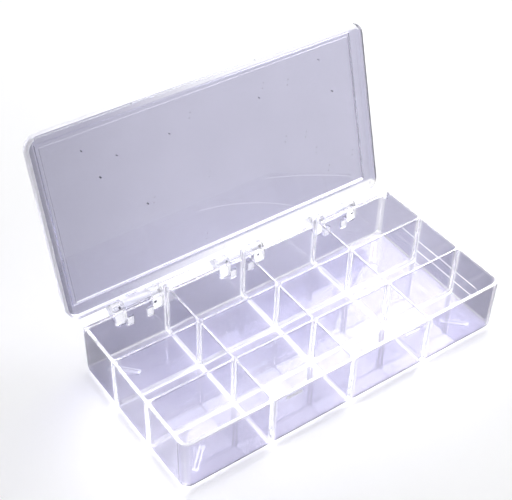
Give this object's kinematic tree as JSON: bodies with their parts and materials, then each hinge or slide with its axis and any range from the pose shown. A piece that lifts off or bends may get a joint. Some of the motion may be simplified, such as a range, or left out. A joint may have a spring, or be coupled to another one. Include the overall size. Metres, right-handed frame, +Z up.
{
  "type": "compartment box",
  "caption": "Clear plastic compartment box: a shallow tray with moulded dividers and a hinged lid that stands open and leans back.",
  "frame": {"origin": "centre of the tray's flat underside", "axes": "+X along the box to the right, +Y to the hinges at the back, +Z up out of the open tray"},
  "size_m": [0.214, 0.1451, 0.1316],
  "materials": {
    "tray_plastic": "clear, glossy, moulded",
    "lid_plastic": "clear, glossy, moulded, lightly scratched",
    "pin_plastic": "clear, glossy rod"
  },
  "bodies": {
    "tray": {"tray": "tray_plastic", "hinge_pin_left": "pin_plastic", "hinge_pin_middle": "pin_plastic", "hinge_pin_right": "pin_plastic"},
    "lid": {"lid": "lid_plastic"}
  },
  "joints": [
    {"name": "lid_hinge", "type": "hinge", "parent": "tray", "child": "lid", "pos_m": [0, 0.0548, 0.0282], "axis": [1, 0, 0], "range_deg": [0, 106]}
  ]
}
